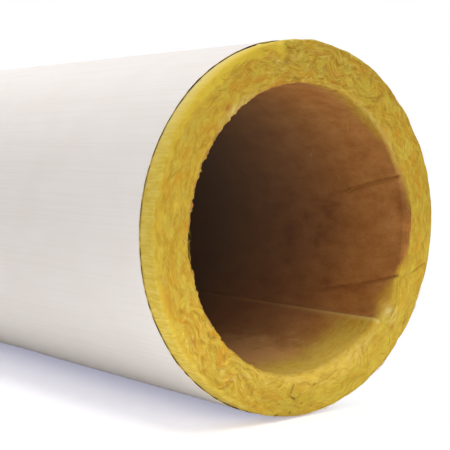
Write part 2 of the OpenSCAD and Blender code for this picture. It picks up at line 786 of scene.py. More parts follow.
    def store(self, mesh: bpy.types.Mesh) -> None:
        """Stores every mark on the tube's mesh.

        Args:
            mesh: mesh whose vertices these are.
        """
        unrolled = np.column_stack([self.x, self.angle * self.section.outer_r, self.radius])
        marks = {
            "unrolled": unrolled, "skin": self.skin(), "band": self.band(), "dirt": self.dirt(),
            "pale": self.pale(), "aged": self.aged(), "lemony": self.lemony(), "fresh": self.fresh(),
            "gilt": self.gilt(), "stain": self.stain(), "tangle": self.tangle(),
            "bleach": self.bleach(), "rough": self.rough(), "depth": self.end_distance()}
        for name, values in marks.items():
            write_value(mesh, name, values)


@dataclass
class WoolTube:
    """The moulded wool: a slit tube with a torn mouth, a swirling end and a browned bore.

    Attributes:
        section: sizes of the section.
        ends: the cut at each end.
        bore_folds: folds along the bore.
        segments: faces round the tube.
        slit_gap: width of the closed slit.
        mouth: rounding of the bare end's mouth, before it slumps.
        back_mouth: rounding of the other mouth.
        rim: rounding of the bare end's rim.
        tuck: how far the uneven outside goes on under the jacket.
        under_sheet: how far the wool stays below the sheet.
    """

    section: Section
    ends: dict[End, CutEnd]
    bore_folds: tuple[Crease, ...]
    segments: int = 480
    slit_gap: float = 0.03 * MM
    mouth: float = 3.6 * MM
    back_mouth: float = 2.5 * MM
    rim: float = 2.5 * MM
    tuck: float = 20 * MM
    under_sheet: float = 0.15 * MM
    piece: bpy.types.Object = field(init=False)

    def rows(self) -> list[float]:
        """Where the outline has a vertex: closer together near the ends.

        Returns:
            A zone's number plus the share of the way through it, for each vertex.
        """
        bore_l = self.section.front_x - self.section.back_x
        near = [depth * MM for depth in (0, 1.5, 3.2, 5)] + [i * 2.4 * MM for i in range(3, 32)]
        middle = [78 * MM + i * 13 * MM for i in range(13)]
        deep = [250 * MM + i * 88 * MM for i in range(7)]
        last = [bore_l - depth * MM for depth in (40, 22, 14, 9, 5.5, 4)]
        lays = [1 - depth / bore_l for depth in reversed(near + middle + deep + last)]
        lays[0] = 0.0
        counts = {Zone.MOUTH: 5, Zone.FACE: 14, Zone.RIM: 2, Zone.BAND: 12,
                  Zone.OUTER: 3, Zone.BACK_FACE: 12, Zone.BACK_MOUTH: 3}
        for zone, count in counts.items():
            lays += [zone + (i + 1) / count for i in range(count)]
        return lays[:-1]

    def mouth_round(self, angle: Array) -> Array:
        """Rounding of the bare end's mouth, with a step above the slit, in metres."""
        step = 5.5 * hump(angle, -35, 5.5) * (angle > self.section.slit_angle)
        return self.mouth + (humps(angle, MOUTH_SLUMP) + step) * MM

    def outer_radius(self, angle: Array) -> Array:
        """Outer radius of the bare end, which is a little out of round.

        Args:
            angle: angles about the axis, in radians.

        Returns:
            One radius for each angle, in metres.
        """
        round_mm = angle * self.section.outer_r / MM
        uneven = ripples(round_mm, round_mm, ((0.35, 9, 31, 35.1), (0.15, 3.3, 12, 36.4)))
        return self.section.outer_r + (humps(angle, OUT_OF_ROUND) + uneven) * MM

    def rim_round(self, angle: Array) -> Array:
        """Rounding of the bare end's rim, which is most uneven on the left.

        Args:
            angle: angles about the axis, in radians.

        Returns:
            One radius for each angle, in metres.
        """
        round_mm = angle * self.section.outer_r / MM
        uneven = ripples(round_mm, round_mm, ((0.9, 6.5, 40, 37.2), (0.5, 2.3, 9, 38.8)))
        return self.rim + (0.25 + 0.75 * hump(angle, 150, 60)) * uneven * MM

    def outline(self, lay: Array, angle: Array) -> tuple[Array, Array]:
        """Place along X and distance from the axis of each row of the outline, at each angle.

        Args:
            lay: rows as rows() gives them.
            angle: angles about the axis, in radians.

        Returns:
            Places along X and radii, in metres.
        """
        sec = self.section
        zone = np.minimum(np.floor(lay), Zone.BACK_MOUTH).astype(int)
        share = lay - zone
        sine, cosine = np.sin(share * math.pi / 2), np.cos(share * math.pi / 2)
        mouth = self.mouth_round(angle)
        mouth_r = sec.bore_r + mouth
        rim = self.rim_round(angle)
        full_r = self.outer_radius(angle)
        under_r = sec.outer_r - self.under_sheet
        back_r = sec.bore_r + self.back_mouth
        bore_x = (sec.back_x + self.back_mouth) * (1 - share) + (sec.front_x - mouth) * share
        tuck_x = sec.jacket_x - self.tuck
        band_x = (sec.front_x - rim) * (1 - share) + tuck_x * share
        bare = ease((band_x - sec.jacket_x) / (6 * MM))
        places = {
            Zone.BORE: (bore_x, sec.bore_r),
            Zone.MOUTH: (sec.front_x - mouth * (1 - sine), mouth_r - mouth * cosine),
            Zone.FACE: (sec.front_x, mouth_r * (1 - share) + (full_r - rim) * share),
            Zone.RIM: (sec.front_x - rim * (1 - cosine), full_r - rim * (1 - sine)),
            Zone.BAND: (band_x, under_r + (full_r - under_r) * bare),
            Zone.OUTER: (tuck_x * (1 - share) + sec.back_x * share, under_r),
            Zone.BACK_FACE: (sec.back_x, under_r * (1 - share) + back_r * share),
            Zone.BACK_MOUTH: (sec.back_x + self.back_mouth * (1 - cosine),
                              back_r - self.back_mouth * sine)}
        x = np.zeros_like(lay)
        radius = np.zeros_like(lay)
        for which, (new_x, new_r) in places.items():
            mask = zone == which
            x[mask] = np.broadcast_to(new_x, lay.shape)[mask]
            radius[mask] = np.broadcast_to(new_r, lay.shape)[mask]
        return x, radius

    def bore_relief(self, x: Array, angle: Array) -> Array:
        """How far the bore's skin is pushed out: wrinkles, folds and the slit's lips.

        Args:
            x: places along the axis.
            angle: angles about it, in radians.

        Returns:
            One distance for each point, in metres.
        """
        sec = self.section
        depth = (sec.front_x - x) / MM
        round_mm = angle * sec.bore_r / MM
        wrinkles = ripples(depth, round_mm, ((0.30, 70, 9, 21.4), (0.12, 18, 3.5, 22.7)))
        fade = np.clip(1.15 - depth / 105, 0, 1)
        folds = np.zeros_like(depth)
        for crease in self.bore_folds:
            path = np.array(crease.path)
            path[:, 1] *= math.radians(1) * sec.bore_r / MM
            near = distance_to_path(depth, round_mm, path)
            wide = crease.width_mm
            folds += crease.depth_mm * fade * bell(near, wide)
            folds -= 0.35 * crease.depth_mm * fade * bell(near - 2.5 * wide, 2 * wide)
        from_slit = (angle - sec.slit_angle) * sec.bore_r / MM
        above = (from_slit > 0) & (from_slit < 40)
        below = (from_slit <= 0) & (from_slit > -60)
        sunk = (0.4 + 0.5 * ease((depth - 6) / 20)) * np.exp(-np.abs(from_slit) / 14)
        raised = 1.2 * np.exp(-np.abs(from_slit) / 16)
        lips = (sunk * above - raised * below) * (0.4 + 0.6 * np.exp(-depth / 120))
        return (wrinkles + folds + lips) * MM

    def torn_edge(self, angle: Array, lay: Array) -> Array:
        """How far the torn mouth's tufts hang into the bore.

        Args:
            angle: angles about the axis, in radians.
            lay: rows of the outline.

        Returns:
            One distance for each point, in metres.
        """
        round_mm = angle * self.section.bore_r / MM
        torn = 0.12 + humps(angle, TORN_MOUTH)
        tufts = 1.1 * perlin(round_mm / 4.6, lay * 1.2, 31.7)
        tufts += 1.1 * perlin(round_mm / 1.9, lay * 2.1, 32.9)
        notch = humps(angle, ((2.0, 184, 6), (-0.7, 195, 5)))
        return (torn * tufts - notch) * bell(lay - 1.35, 0.5) * MM

    def band_relief(self, x: Array, angle: Array, lay: Array) -> Array:
        """How far the bare band stands out: ribs along it, and a bulge where the sheet pinches it.

        Args:
            x: places along the axis.
            angle: angles about it, in radians.
            lay: rows of the outline.

        Returns:
            One distance for each point, in metres.
        """
        sec = self.section
        round_mm = angle * sec.outer_r / MM
        past_edge = (x - sec.jacket_x) / MM
        ribs = ripples(round_mm, x / MM, ((0.16, 1.1, 14, 41.3), (0.30, 7, 12, 42.6)))
        bulge = 0.2 + 0.75 * perlin(round_mm / 4.5, x / (40 * MM), 43.9)
        bulge = np.clip(bulge * bell(past_edge - 1.2, 1.6), 0, 1)
        ribs += bulge * (lay > Zone.RIM) * (lay < Zone.OUTER)
        shown = ease(lay - Zone.RIM) * (lay < Zone.OUTER) * ease(past_edge / 1.5)
        return shown * ribs * MM

    def build(self) -> None:
        """Turns the outline round the axis, closes the slit's walls and sculpts the relief."""
        sec = self.section
        lays = np.array(self.rows())
        start = np.full_like(lays, sec.slit_angle + self.slit_gap / sec.bore_r / 2)
        x, radius = self.outline(lays, start)
        self.piece = draw_wire("wool_tube", [Vector(p) for p in sec.place(x, radius, start)])
        mesh = self.piece.data
        write_value(mesh, "lay", lays)
        self.close_outline(len(lays))
        bpy.ops.mesh.select_all(action="SELECT")
        bpy.ops.mesh.spin(steps=self.segments, angle=TURN - self.slit_gap / sec.bore_r,
                          use_auto_merge=False, center=(0, 0, sec.axis_z), axis=(1, 0, 0))
        bpy.ops.mesh.select_all(action="SELECT")
        bpy.ops.mesh.fill_holes(sides=0)
        bpy.ops.mesh.normals_make_consistent(inside=False)
        self.select_zone(Zone.MOUTH, Zone.BAND + 0.7)
        bpy.ops.mesh.subdivide(number_cuts=1)
        bpy.ops.object.mode_set(mode="OBJECT")
        self.sculpt()
        bpy.ops.object.shade_smooth_by_angle(angle=math.radians(75))
        LOG.info("wool tube: %d faces", len(mesh.polygons))

    def close_outline(self, count: int) -> None:
        """Joins the outline's last vertex to its first, and stays in edit mode.

        Args:
            count: how many vertices the outline has.
        """
        bpy.ops.object.mode_set(mode="EDIT")
        bpy.ops.mesh.select_all(action="DESELECT")
        bpy.ops.object.mode_set(mode="OBJECT")
        vertices = self.piece.data.vertices
        vertices[0].select = True
        vertices[count - 1].select = True
        bpy.ops.object.mode_set(mode="EDIT")
        bpy.ops.mesh.edge_face_add()

    def select_zone(self, first: float, last: float) -> None:
        """Selects the faces whose rows all lie between two places on the outline.

        Args:
            first: lowest row.
            last: highest row.
        """
        bpy.ops.object.mode_set(mode="OBJECT")
        mesh = self.piece.data
        lay = read_value(mesh, "lay")
        bpy.ops.object.mode_set(mode="EDIT")
        bpy.ops.mesh.select_mode(type="FACE")
        bpy.ops.mesh.select_all(action="DESELECT")
        bpy.ops.object.mode_set(mode="OBJECT")
        for face in mesh.polygons:
            if len(face.vertices) == 4:
                rows = lay[list(face.vertices)]
                face.select = bool(rows.min() >= first and rows.max() <= last)
        bpy.ops.object.mode_set(mode="EDIT")

    def sculpt(self) -> None:
        """Moves the vertices to the relief of each zone, and stores what the finish reads."""
        sec = self.section
        mesh = self.piece.data
        points = read_points(mesh)
        lay = read_value(mesh, "lay")
        angle = np.arctan2(points[:, 2] - sec.axis_z, points[:, 1])
        x, radius = self.outline(lay, angle)
        bare_end, back_end = self.ends[End.BARE], self.ends[End.BACK]
        front = lay < Zone.OUTER
        along, across = bare_end.unrolled(radius, angle)
        height = bare_end.height(along, across)
        back_height = back_end.height(along, across)
        fold = self.bore_relief(x, angle)
        on_bore = np.where(front, ease(2 - lay), ease(lay - Zone.BACK_MOUTH))
        on_face = ease(lay - Zone.MOUTH) * (1 - 0.8 * ease(lay - Zone.RIM)) * (lay < Zone.BAND)
        on_back = ease((lay - Zone.BACK_FACE) * 6) * ease((8 - lay) * 1.2)
        new_x = x + on_face * height - on_back * back_height
        new_r = radius + on_bore * fold + self.band_relief(x, angle, lay)
        new_r = new_r - self.torn_edge(angle, lay) * (lay < Zone.RIM)
        write_points(mesh, sec.place(new_x, new_r, angle))
        relief = np.where(front, height * on_face - fold * on_bore * 0.8, back_height * on_back)
        write_value(mesh, "relief", relief / MM)
        # The strands run on from the end over its rounded edges, so these are laid flat for them
        inset = np.where(lay < Zone.FACE + 0.5, x - sec.front_x, sec.front_x - x)
        flow_s, flow_t = bare_end.flow(along, across + inset)
        back_s, back_t = back_end.flow(along, across)
        flow = [np.where(front, flow_s, back_s), np.where(front, flow_t, back_t), np.zeros_like(lay)]
        write_value(mesh, "flow", np.column_stack(flow))
        WoolMarks(sec, x, radius, angle, lay).store(mesh)

    def dress(self, finish: WoolFinish) -> None:
        """Gives the tube its finish and its place in the frame.

        Args:
            finish: the wool's finish.
        """
        self.piece.data.materials.append(finish.material())
        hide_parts("insulation")
        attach(self.piece, "root")


@dataclass(frozen=True)
class Pattern:
    """A noise pattern of the wool.

    Attributes:
        source: the value that it is laid out on.
        step_mm: its size along and across that.
        detail: how many finer layers it has.
        shift: which stretch of the noise it takes, so that no two patterns are alike.
        turn: how far it is turned, in degrees.
    """

    source: str
    step_mm: tuple[float, float]
    detail: float
    shift: int
    turn: float = 0.0


@dataclass(frozen=True)
class Share:
    """A share that is read from a value.

    Attributes:
        source: the value that is read.
        low: where the share is least.
        high: where the share is most.
        most: the share there.
        least: the share at low.
    """

    source: str
    low: float
    high: float
    most: float = 1.0
    least: float = 0.0


@dataclass(frozen=True)
class Blend:
    """A value between two others.

    Attributes:
        share: how much of the second is taken, as a number or a value's name.
        first: number or name of the first.
        second: number or name of the second.
    """

    share: str | float
    first: str | float
    second: str | float


class LaidOn(Enum):
    """How a tint is laid on, as Blender calls it."""

    COVER = "MIX"
    DARKEN = "MULTIPLY"


@dataclass(frozen=True)
class Layer:
    """A tint laid over a colour of the wool.

    Attributes:
        under: colour that it is laid on.
        share: how much of it shows, as a number or a value's name.
        over: its sRGB hex, or another colour's name.
        kind: whether it covers the colour or darkens it.
    """

    under: str
    share: str | float
    over: str
    kind: LaidOn = LaidOn.COVER


# Values that the tube's sculpting stores at each vertex
STORED_VECTORS = ("flow", "unrolled")
STORED_NUMBERS = ("skin", "band", "relief", "dirt", "depth", "pale", "tangle", "rough", "aged", "lemony",
                  "fresh", "bleach", "stain", "gilt")

# A glass fibre is about 0.01 mm thick, too fine to show, so the strands are drawn much coarser
WOOL_PATTERNS = {
    "strands": Pattern("jumbled", (11, 3.2), 2.5, 0),
    "crossing": Pattern("jumbled", (9, 3.2), 2.5, 1, 26),
    "counter": Pattern("jumbled", (9, 3.2), 2.5, 2, -24),
    "tufts": Pattern("flow", (10, 7), 1, 3),
    "locks": Pattern("flow", (9, 7), 1, 4),
    "combed": Pattern("flow", (20, 1.8), 3, 5),
    "fine": Pattern("jumbled", (5, 0.7), 2, 6),
    "wisps": Pattern("jumbled", (9, 1.9), 3, 7),
    "embers": Pattern("jumbled", (8, 2.4), 3, 8, 12),
    "fuzz": Pattern("jumbled", (4.2, 2.6), 5, 9),
    "dapple": Pattern("jumbled", (6, 3.6), 3, 10),
    "patches": Pattern("flow", (19, 8), 2, 12),
    "spots": Pattern("flow", (13, 7), 3, 13),
    "threads": Pattern("unrolled", (9, 1.4), 4, 14),
    "broad": Pattern("unrolled", (7, 4), 4, 15),
    "mottle": Pattern("unrolled", (19, 14), 5, 16),
    "pores": Pattern("unrolled", (2.4, 2.0), 3, 17)}

# How patterns and stored values become the height of the strands and the shares of the tints, in order
WOOL_STEPS = {
    "to_crossing": Share("tufts", 0.50, 0.58),
    "to_counter": Share("locks", 0.50, 0.58),
    "lain": Blend("to_crossing", "strands", "crossing"),
    "tangled": Blend("to_counter", "lain", "counter"),
    "soft": Share("combed", 0.2, 0.8, most=0.74, least=0.3),
    "lumpy": Blend(0.5, "soft", "fuzz"),
    "to_strands": Share("rough", 0.0, 1.0, most=0.8),
    "even": Blend("to_strands", "lumpy", "tangled"),
    "sharp": Share("even", 0.3, 0.7, most=0.83, least=0.19),
    "strong": Share("tangle", 1.3 * MM, 2.8 * MM),
    "tone": Blend("strong", "even", "sharp"),
    "ribbed": Share("threads", 0.0, 1.0, most=0.65, least=0.4),
    "pored_tone": Blend("skin", "tone", "pores"),
    "raised": Blend("band", "pored_tone", "ribbed"),
    "wispy": Share("wisps", 0.54, 0.7, most=0.5),
    "to_wisp": Blend("strong", 0.0, "wispy"),
    "embery": Share("embers", 0.52, 0.68, most=0.6),
    "to_ember": Blend("strong", 0.0, "embery"),
    "to_sun": Share("dapple", 0.52, 0.68, most=0.55),
    "to_dusk": Share("dapple", 0.46, 0.3, most=0.5),
    "to_orange": Share("patches", 0.48, 0.64, most=0.68),
    "to_lemon": Share("spots", 0.5, 0.62, most=0.6),
    "to_light": Share("broad", 0.5, 0.72, most=0.6),
    "to_dust": Share("depth", 40, 190, most=0.9),
    # Painted shade in the creases and hollows of the relief
    "to_pit": Share("relief", -0.35, -1.3, most=0.5)}


def new_material(name: str, roughness: float, gloss: float) -> bpy.types.Material:
    """Starts a material with Blender's own surface shader.

    Args:
        name: the real material's name.
        roughness: how far its shine spreads.
        gloss: how strong its shine is.

    Returns:
        The material, still without a colour.
    """
    material = bpy.data.materials.new(name)
    material.use_nodes = True
    shader = material.node_tree.nodes["Principled BSDF"]
    shader.inputs["Roughness"].default_value = roughness
    shader.inputs["Specular IOR Level"].default_value = gloss
    return material


@dataclass(frozen=True)
class WoolFinish:
    """Bonded glass wool, moulded and sawn: matte tangled strands, with a bore browned by the mould.

    The colours are named for what they show.

    Attributes:
        swirl_mm: size of the swirls that jumble the strands.
        strand_mm: height of the strands' relief.
        strand_strength: how clearly that relief shows.
    """

    shade: str = "#AD8424"
    ochre: str = "#C79D30"
    gold: str = "#D6B03A"
    yellow: str = "#E0C14C"
    # Pale wool, also the colour of the painted highlights on the lip and the rim
    pale: str = "#EAD88C"
    orange: str = "#D79A2A"
    lemon: str = "#DCC64C"
    # Colour of the painted highlight on the rim and the flap
    gilt: str = "#E8C840"
    sun: str = "#E6C848"
    ember: str = "#BA802C"
    wisp: str = "#E8CF7A"
    stain: str = "#B8742C"
    # Grey that darkens the wool: painted shade over the top of the end, and darker stretches
    aged: str = "#DCDDDF"
    fresh: str = "#EFCB50"
    fresh_pale: str = "#F2DB7C"
    band_dark: str = "#CFAA38"
    band_mid: str = "#E2C24A"
    band_light: str = "#F0DA7E"
    skin_deep: str = "#804C26"
    skin_dark: str = "#AB7138"
    skin: str = "#BC8146"
    skin_light: str = "#C99152"
    skin_pale: str = "#EDB872"
    # Painted shade for creases and hollows
    crease_shade: str = "#7A5A22"
    dust: str = "#8F7E6E"
    dirt: str = "#4E3A1C"
    grain_dark: str = "#C6C1B2"
    pore_dark: str = "#CFC6BA"
    swirl_mm: float = 6.5
    strand_mm: float = 1.0
    strand_strength: float = 0.32

    def ramps(self) -> dict[str, tuple[str, tuple[tuple[float, str], ...]]]:
        """Ground colours: the value that each follows, and its stops.

        Returns:
            The cut end, its grain, the outside, the browned bore, its pores and the bright mouth.
        """
        return {
            "cut": ("tone", ((0.34, self.shade), (0.44, self.ochre), (0.53, self.gold),
                             (0.63, self.yellow), (0.78, self.pale))),
            "grain": ("fine", ((0.3, self.grain_dark), (0.6, "#FFFFFF"))),
            "side": ("threads", ((0.3, self.band_dark), (0.5, self.band_mid), (0.72, self.band_light))),
            "hide": ("browned", ((0.05, self.skin_deep), (0.3, self.skin_dark), (0.5, self.skin),
                                 (0.72, self.skin_light), (1.0, self.skin_pale))),
            "pored": ("pores", ((0.28, self.pore_dark), (0.5, "#FFFFFF"))),
            "bright": ("tone", ((0.32, self.orange), (0.48, self.fresh), (0.68, self.fresh_pale)))}

    def layers(self) -> tuple[Layer, ...]:
        """Tints over the ground colours, from the lowest up.

        Returns:
            The tints of each ground, then the grounds over one another, then the marks on top.
        """
        return (
            Layer("cut", "to_orange", self.orange),
            Layer("cut", "to_lemon", self.lemon),
            Layer("cut", "lemony", self.lemon),
            Layer("cut", "to_sun", self.sun),
            Layer("cut", "to_dusk", self.ochre),
            Layer("cut", "to_ember", self.ember),
            Layer("cut", "to_wisp", self.wisp),
            Layer("cut", "stain", self.stain),
            Layer("cut", 0.32, "grain", LaidOn.DARKEN),
            Layer("side", "to_light", self.band_light),
            Layer("hide", 0.38, "pored", LaidOn.DARKEN),
            Layer("hide", "to_dust", self.dust),
            Layer("cut", "band", "side"),
            # Painted highlight on the rim on the left and the flap at the top
            Layer("cut", "gilt", self.gilt),
            # Painted shade over the top of the cut end, and darker stretches
            Layer("cut", "aged", self.aged, LaidOn.DARKEN),
            Layer("cut", "skin", "hide"),
            Layer("cut", "fresh", "bright"),
            # Painted shade in the creases and hollows
            Layer("cut", "to_pit", self.crease_shade, LaidOn.DARKEN),
            # Painted highlight on the slit's lip and the rim by the sheet, and pale scuffs
            Layer("cut", "pale", self.pale),
            Layer("cut", "dirt", self.dirt))

    def lay_patterns(self, tree: bpy.types.NodeTree) -> Sockets:
        """Reads the stored values and lays the noise patterns out on them.

        Args:
            tree: the material's node tree.

        Returns:
            Each value and pattern by its name.
        """
        read = {}
        for name in STORED_VECTORS:
            read[name] = add_node(tree, "ShaderNodeAttribute", attribute_name=name).outputs["Vector"]
        for name in STORED_NUMBERS:
            read[name] = add_node(tree, "ShaderNodeAttribute", attribute_name=name).outputs["Fac"]
        swirl = add_node(tree, "ShaderNodeTexNoise", {
            "Vector": read["flow"], "Scale": 1 / (self.swirl_mm * MM), "Detail": 1.0})
        push = add_node(tree, "ShaderNodeVectorMath", {
            0: swirl.outputs["Color"], "Scale": read["tangle"]}, operation="SCALE")
        jumbled = add_node(tree, "ShaderNodeVectorMath", {
            0: push.outputs[0], 1: read["flow"]}, operation="ADD")
        read["jumbled"] = jumbled.outputs[0]
        for name, pattern in WOOL_PATTERNS.items():
            laid = add_node(tree, "ShaderNodeMapping", {
                "Vector": read[pattern.source],
                "Location": (0.31 * pattern.shift, 0.17 * pattern.shift, 0),
                "Rotation": (0, 0, math.radians(pattern.turn)),
                "Scale": (pattern.step_mm[0] * MM, pattern.step_mm[1] * MM, 1)}, vector_type="TEXTURE")
            drawn = add_node(tree, "ShaderNodeTexNoise", {
                "Vector": laid.outputs[0], "Scale": 1.0, "Detail": pattern.detail, "Roughness": 0.6})
            read[name] = drawn.outputs["Fac"]
        return read

    def work_out(self, tree: bpy.types.NodeTree, read: Sockets) -> None:
        """Works out the height of the strands and the shares of the tints.

        Args:
            tree: the material's node tree.
            read: values by name, to which the new ones are added.
        """
        for name, step in WOOL_STEPS.items():
            if isinstance(step, Share):
                node = add_node(tree, "ShaderNodeMapRange", {
                    0: read[step.source], 1: step.low, 2: step.high, 3: step.least, 4: step.most})
            else:
                node = add_node(tree, "ShaderNodeMix", {
                    0: read.get(step.share, step.share), 2: read.get(step.first, step.first),
                    3: read.get(step.second, step.second)}, data_type="FLOAT")
            read[name] = node.outputs[0]
        # The skin's tone: its mottle plus the painted light and shade of the bore
        browned = add_node(tree, "ShaderNodeMath", {
            0: read["mottle"], 1: read["bleach"]}, operation="ADD")
        read["browned"] = browned.outputs[0]

    def paint(self, tree: bpy.types.NodeTree, read: Sockets) -> None:
        """Lays the ground colours and the tints over them.

        Args:
            tree: the material's node tree.
            read: values by name, to which the colours are added.
        """
        for name, (source, stops) in self.ramps().items():
            read[name] = add_node(tree, "ShaderNodeValToRGB", {0: read[source]}, ramp=stops).outputs[0]
        for layer in self.layers():
            over = read[layer.over] if layer.over in read else linear(layer.over)
            mixed = add_node(tree, "ShaderNodeMix", {
                0: read.get(layer.share, layer.share), 6: read[layer.under], 7: over},
                data_type="RGBA", blend_type=layer.kind.value)
            read[layer.under] = mixed.outputs[2]

    def material(self) -> bpy.types.Material:
        """Builds the finish.

        Returns:
            The material, which reads the values that the tube's sculpting stores.
        """
        # Glass wool bonded with resin: no shine, golden strands with soft shade between them where it is
        # cut, and a leathery brown skin where the hot mould has cured the resin
        material = new_material("bonded_glass_wool", roughness=0.9, gloss=0.15)
        tree = material.node_tree
        shader = tree.nodes["Principled BSDF"]
        read = self.lay_patterns(tree)
        self.work_out(tree, read)
        self.paint(tree, read)
        bump = add_node(tree, "ShaderNodeBump", {
            "Height": read["raised"], "Strength": self.strand_strength, "Distance": self.strand_mm * MM})
        tree.links.new(read["cut"], shader.inputs["Base Color"])
        tree.links.new(bump.outputs[0], shader.inputs["Normal"])
        return material


@dataclass(frozen=True)
class StrandFinish:
    """Single glass strands with dried binder: pale straw to gold, each of its own tint."""

    binder: str = "#B5822A"
    gold: str = "#D2A738"
    yellow: str = "#E2C24E"
    straw: str = "#F0DF98"
    glass: str = "#F8EFC8"

    def material(self) -> bpy.types.Material:
        """Builds the finish.

        Returns:
            The material, which reads the tint value.
        """
        # Glass strands coated with resin: thin lines that catch a little light, a shade off their ground
        material = new_material("loose_glass_strands", roughness=0.75, gloss=0.25)
        tree = material.node_tree
        tint = add_node(tree, "ShaderNodeAttribute", attribute_name="tint").outputs["Fac"]
        colour = add_node(tree, "ShaderNodeValToRGB", {0: tint}, ramp=[
            (0.0, self.binder), (0.3, self.gold), (0.65, self.yellow),
            (0.9, self.straw), (1.0, self.glass)])
        tree.links.new(colour.outputs[0], tree.nodes["Principled BSDF"].inputs["Base Color"])
        return material


@dataclass
class LooseFibres:
    """Strands that stand out of one cut end: they lie round the face and hang from the torn mouth.

    Attributes:
        section: sizes of the section.
        name: name of the piece.
        end: the cut end that they stand on.
        facing: which end that is.
        seed: start of the random draws.
        face_count: how many lie on the face.
        mouth_count: how many hang from the mouth.
        tube: the wool, whose relief the scuffs follow.
        scuffs: paths of scuffed strands in the bore, as depth in mm and angle in degrees.
        thickness: radius of a strand. A real one is too fine to show, so it is drawn coarser.
        scuff_girth: how many times thicker a scuffed strand is.
        steps: points on a strand.
        sides: corners round a strand.
    """

    section: Section
    name: str
    end: CutEnd
    facing: End
    seed: int
    face_count: int
    mouth_count: int
    tube: WoolTube
    scuffs: tuple[tuple[tuple[float, float], ...], ...] = ()
    thickness: float = 0.09 * MM
    scuff_girth: float = 2.6
    steps: int = 9
    sides: int = 3
    piece: bpy.types.Object = field(init=False)

    @property
    def base_x(self) -> float:
        """Place of the cut end along X."""
        return self.section.front_x if self.facing is End.BARE else self.section.back_x

    def face_paths(self, rng: np.random.Generator) -> Array:
        """Paths of the strands on the face: they follow its swirls and lift off a little.

        Args:
            rng: source of the random places.

        Returns:
            Points as strand, step and X, Y, Z.
        """
        sec = self.section
        count, steps = self.face_count, self.steps
        s = rng.uniform(0, TURN * sec.mid_r, count)
        t = rng.uniform(1.5 * MM, sec.wall - 1.2 * MM, count)
        stride = rng.uniform(0.5, 1.2, count) * MM
        own = rng.normal(0, 0.22, count)
        peak = rng.uniform(0.02, 0.22, count) * MM
        margin, rounding = 0.8 * MM, 2.5 * MM
        out = np.zeros((count, steps, 3))
        for step in range(steps):
            heading = own + 1.6 * self.end.ripple(s, t, (14, 9), 9.1)
            lift = peak * math.sin(math.pi * (step + 0.5) / steps) - 0.05 * MM
            # The face is rounded off towards both of its edges
            from_edge = np.minimum(np.minimum(t, sec.wall - t), rounding)
            x = self.end.height(s, t) + lift - (rounding - from_edge) ** 2 / (4 * MM)
            out[:, step] = sec.place(self.base_x + self.facing * x, sec.bore_r + t, self.end.angle_at(s))
            s = s + stride * np.cos(heading)
            t = np.clip(t + stride * np.sin(heading), margin, sec.wall - margin)
        return out

    def mouth_paths(self, rng: np.random.Generator) -> Array:
        """Paths of the strands torn loose at the mouth, mostly on the side away from the slit.

        Args:
            rng: source of the random places.

        Returns:
            Points as strand, step and X, Y, Z.
        """
        sec = self.section
        count = self.mouth_count
        angle = np.radians(rng.normal(178, 48, count))
        radius = sec.bore_r + rng.uniform(0.4, 3.0, count) * MM
        x = -rng.uniform(0.2, 4.5, count) * MM
        heading = rng.normal(0, 0.9, count)
        stride = rng.uniform(0.25, 0.6, count) * MM
        inward = rng.uniform(0.0, 0.12, count)
        out = np.zeros((count, self.steps, 3))
        for step in range(self.steps):
            out[:, step] = sec.place(self.base_x + self.facing * x, radius, angle)
            heading = heading + rng.normal(0, 0.25, count)
            angle = angle + stride * np.cos(heading) / radius
            x = x + stride * np.sin(heading) * 0.6
            radius = radius - stride * inward * np.abs(np.cos(1.2 * heading))
        return out

    def bore_paths(self) -> Array:
        """Paths of the pale scuffs, half sunk in the bore's skin.

        Returns:
            Points as strand, step and X, Y, Z.
        """
        sec = self.section
        out = np.zeros((len(self.scuffs), self.steps, 3))
        share = np.linspace(0, 1, self.steps)
        for strand, path in enumerate(self.scuffs):
            stops = np.linspace(0, 1, len(path))
            x = sec.front_x - np.interp(share, stops, [p[0] for p in path]) * MM
            angle = np.radians(np.interp(share, stops, [p[1] for p in path]))
            radius = sec.bore_r + self.tube.bore_relief(x, angle) + 0.08 * MM
            out[strand] = sec.place(x, radius, angle)
        return out

    def rods(self, paths: Array, girth: Array) -> tuple[list, list, list]:
        """Turns paths into thin rods with pointed ends.

        Args:
            paths: points as strand, step and X, Y, Z.
            girth: thickness of each strand, in units of the plain one.

        Returns:
            Points, no loose edges, and faces.
        """
        count, steps = paths.shape[:2]
        tangent = np.gradient(paths, axis=1)
        tangent /= np.linalg.norm(tangent, axis=2, keepdims=True)
        side = np.cross(tangent, np.array([1.0, 0.3, 0.2]))
        side /= np.linalg.norm(side, axis=2, keepdims=True)
        up = np.cross(side, tangent)
        taper = np.sin(math.pi * (np.arange(steps) + 0.35) / (steps - 0.3))
        wide = (self.thickness * girth[:, None] * taper[None, :])[..., None]
        turns = [corner * TURN / self.sides for corner in range(self.sides)]
        rings = [paths + wide * math.cos(turn) * side + wide * math.sin(turn) * up for turn in turns]
        points = np.stack(rings, axis=2).reshape(-1, 3)
        first = (np.arange(count)[:, None] * steps + np.arange(steps - 1)[None, :]).ravel() * self.sides
        faces = []
        for a in range(self.sides):
            b = (a + 1) % self.sides
            quads = [first + a, first + b, first + self.sides + b, first + self.sides + a]
            faces += np.column_stack(quads).tolist()
        head = np.arange(count) * steps * self.sides
        tail = head + (steps - 1) * self.sides
        faces += np.column_stack([head + a for a in reversed(range(self.sides))]).tolist()
        faces += np.column_stack([tail + a for a in range(self.sides)]).tolist()
        return points.tolist(), [], faces

